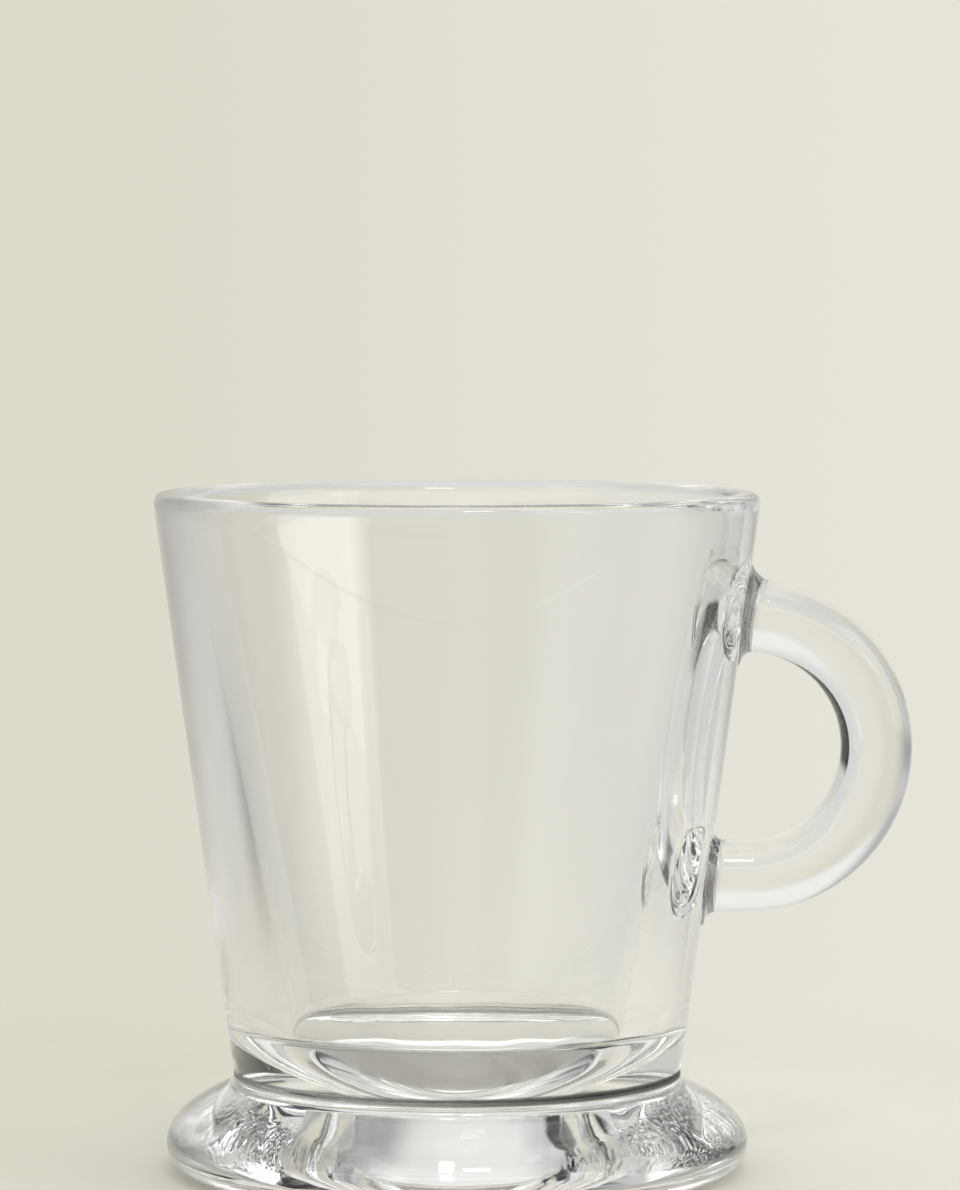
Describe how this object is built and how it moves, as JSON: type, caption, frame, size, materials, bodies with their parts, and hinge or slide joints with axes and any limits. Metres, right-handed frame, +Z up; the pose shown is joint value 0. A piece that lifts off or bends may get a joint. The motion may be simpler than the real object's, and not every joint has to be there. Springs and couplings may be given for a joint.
{
  "type": "glass espresso cup",
  "caption": "Small clear glass cup with a conical bowl, a dished floor, a domed foot with a hollow underside, and a half-ring handle for serving espresso.",
  "frame": {"origin": "on the bowl's axis, in the plane of the bearing ring that stands on the table", "axes": "+Z up along the bowl's axis, +X from the axis towards the handle, +Y to the side"},
  "size_m": [0.0753, 0.0602, 0.0676],
  "materials": {
    "bowl_glass": "clear, fire-polished",
    "foot_glass": "clear, stippled under the bearing ring",
    "handle_glass": "clear, fire-polished"
  },
  "bodies": {
    "root": {"bowl": "bowl_glass", "foot": "foot_glass", "handle": "handle_glass"}
  },
  "joints": []
}
